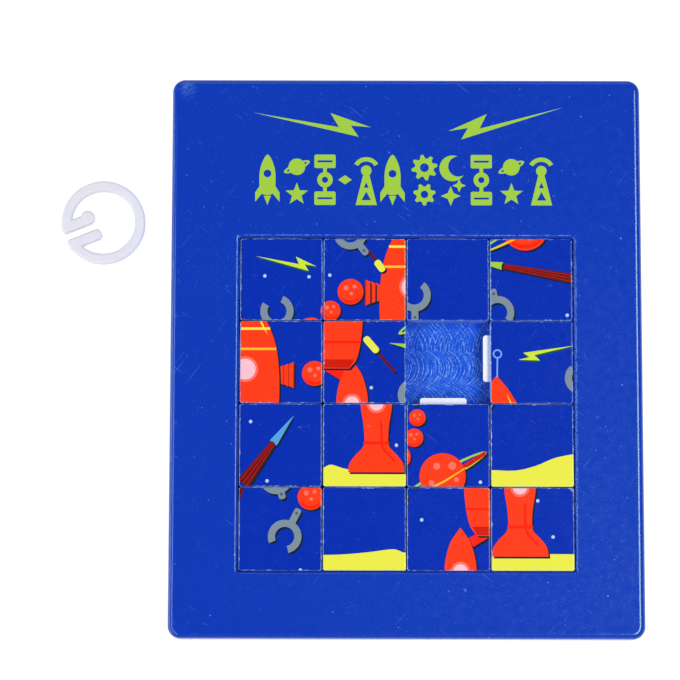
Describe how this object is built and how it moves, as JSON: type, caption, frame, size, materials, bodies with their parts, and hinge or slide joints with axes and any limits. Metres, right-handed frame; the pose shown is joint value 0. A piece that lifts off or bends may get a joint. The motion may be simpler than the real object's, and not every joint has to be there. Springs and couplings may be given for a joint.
{
  "type": "sliding tile puzzle",
  "caption": "Flat rectangular plastic case with a square window of tongue-and-groove picture tiles that slide past one empty cell, and a loose split hang ring.",
  "frame": {"origin": "centre of the case's flat back face", "axes": "+Z out of the tiles' faces, +Y towards the wide top margin, +X to the right as the puzzle is read"},
  "size_m": [0.0929, 0.0896, 0.006],
  "materials": {
    "case_plastic": "moulded blue plastic, satin gloss",
    "tile_plastic": "moulded white plastic, printed on top",
    "ring_plastic": "moulded white plastic, satin"
  },
  "bodies": {
    "case": {"front_frame": "case_plastic", "back_plate": "case_plastic"},
    "tile_r1_c1": {"tile_r1_c1": "tile_plastic"},
    "tile_r1_c2": {"tile_r1_c2": "tile_plastic"},
    "tile_r1_c3": {"tile_r1_c3": "tile_plastic"},
    "tile_r1_c4": {"tile_r1_c4": "tile_plastic"},
    "tile_r2_c1": {"tile_r2_c1": "tile_plastic"},
    "tile_r2_c2": {"tile_r2_c2": "tile_plastic"},
    "tile_r2_c4": {"tile_r2_c4": "tile_plastic"},
    "tile_r3_c1": {"tile_r3_c1": "tile_plastic"},
    "tile_r3_c2": {"tile_r3_c2": "tile_plastic"},
    "tile_r3_c3": {"tile_r3_c3": "tile_plastic"},
    "tile_r3_c4": {"tile_r3_c4": "tile_plastic"},
    "tile_r4_c1": {"tile_r4_c1": "tile_plastic"},
    "tile_r4_c2": {"tile_r4_c2": "tile_plastic"},
    "tile_r4_c3": {"tile_r4_c3": "tile_plastic"},
    "tile_r4_c4": {"tile_r4_c4": "tile_plastic"},
    "hang_ring": {"hang_ring": "ring_plastic"}
  },
  "joints": [
    {"name": "slide_r1_c1", "type": "slide", "parent": "case", "child": "tile_r1_c1", "axis": [1, 0, 0], "range_m": [-0.00006, 0.00006]},
    {"name": "slide_r1_c2", "type": "slide", "parent": "case", "child": "tile_r1_c2", "axis": [1, 0, 0], "range_m": [-0.00006, 0.00006]},
    {"name": "slide_r1_c3", "type": "slide", "parent": "case", "child": "tile_r1_c3", "axis": [0, 1, 0], "range_m": [-0.00006, 0.00006]},
    {"name": "slide_r1_c4", "type": "slide", "parent": "case", "child": "tile_r1_c4", "axis": [1, 0, 0], "range_m": [-0.00006, 0.00006]},
    {"name": "slide_r2_c1", "type": "slide", "parent": "case", "child": "tile_r2_c1", "axis": [1, 0, 0], "range_m": [0, 0.01325]},
    {"name": "slide_r2_c2", "type": "slide", "parent": "case", "child": "tile_r2_c2", "axis": [1, 0, 0], "range_m": [0, 0.01325]},
    {"name": "slide_r2_c4", "type": "slide", "parent": "case", "child": "tile_r2_c4", "axis": [1, 0, 0], "range_m": [-0.00006, 0.00006]},
    {"name": "slide_r3_c1", "type": "slide", "parent": "case", "child": "tile_r3_c1", "axis": [1, 0, 0], "range_m": [-0.00006, 0.00006]},
    {"name": "slide_r3_c2", "type": "slide", "parent": "case", "child": "tile_r3_c2", "axis": [1, 0, 0], "range_m": [-0.00006, 0.00006]},
    {"name": "slide_r3_c3", "type": "slide", "parent": "case", "child": "tile_r3_c3", "axis": [0, -1, 0], "range_m": [-0.01325, 0]},
    {"name": "slide_r3_c4", "type": "slide", "parent": "case", "child": "tile_r3_c4", "axis": [1, 0, 0], "range_m": [-0.00006, 0.00006]},
    {"name": "slide_r4_c1", "type": "slide", "parent": "case", "child": "tile_r4_c1", "axis": [1, 0, 0], "range_m": [-0.00006, 0.00006]},
    {"name": "slide_r4_c2", "type": "slide", "parent": "case", "child": "tile_r4_c2", "axis": [1, 0, 0], "range_m": [-0.00006, 0.00006]},
    {"name": "slide_r4_c3", "type": "slide", "parent": "case", "child": "tile_r4_c3", "axis": [0, -1, 0], "range_m": [-0.01325, 0]},
    {"name": "slide_r4_c4", "type": "slide", "parent": "case", "child": "tile_r4_c4", "axis": [1, 0, 0], "range_m": [-0.00006, 0.00006]},
    {"name": "ring_lift", "type": "slide", "parent": "case", "child": "hang_ring", "axis": [0, 0, 1], "range_m": [0, 0.05]}
  ],
  "couplings": [
    {"joint": "slide_r2_c2", "follows": "slide_r2_c1", "ratio": 1},
    {"joint": "slide_r3_c3", "follows": "slide_r4_c3", "ratio": 1}
  ]
}
